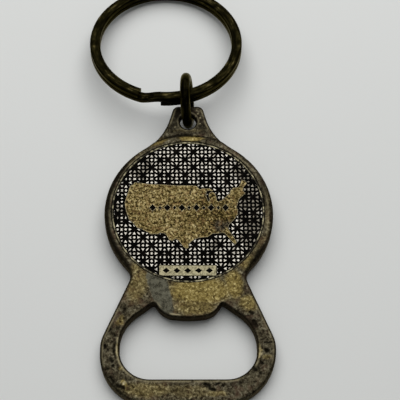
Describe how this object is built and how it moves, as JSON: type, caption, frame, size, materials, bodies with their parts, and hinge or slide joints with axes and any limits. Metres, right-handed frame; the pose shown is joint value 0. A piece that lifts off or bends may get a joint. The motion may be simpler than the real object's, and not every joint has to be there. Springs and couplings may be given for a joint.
{
  "type": "keychain bottle opener",
  "caption": "Flat cast bottle opener with a round map medallion, a cap mouth with a tongue, and a split key ring on a link.",
  "frame": {"origin": "on the flat back of the opener, under the centre of the round head", "axes": "+Y from the cap mouth towards the key ring, +X to the right seen from the decorated face, +Z out of the decorated face"},
  "size_m": [0.0396, 0.0996, 0.0129],
  "materials": {
    "cast_brass": "antique plated casting, grainy, dark in the corners and worn bright on the tongue",
    "etched_brass": "etched and grainy",
    "black_enamel": "dull black fill",
    "adhesive": "cured bond line, hidden",
    "bronze_wire": "dark antique bronze plating on steel wire"
  },
  "bodies": {
    "opener": {"opener_body": "cast_brass", "medallion": "etched_brass", "enamel_fill": "black_enamel", "adhesive_layer": "adhesive"},
    "link": {"jump_link": "bronze_wire"},
    "ring": {"split_ring": "bronze_wire"}
  },
  "joints": [
    {"name": "link_swing", "type": "hinge", "parent": "opener", "child": "link", "pos_m": [0, 0.0212, 0.001], "axis": [1, 0, 0], "range_deg": [-42, 0]},
    {"name": "ring_swing", "type": "hinge", "parent": "link", "child": "ring", "pos_m": [0, 0.02678, 0.00315], "axis": [1, 0, 0], "range_deg": [-60, 140]}
  ]
}
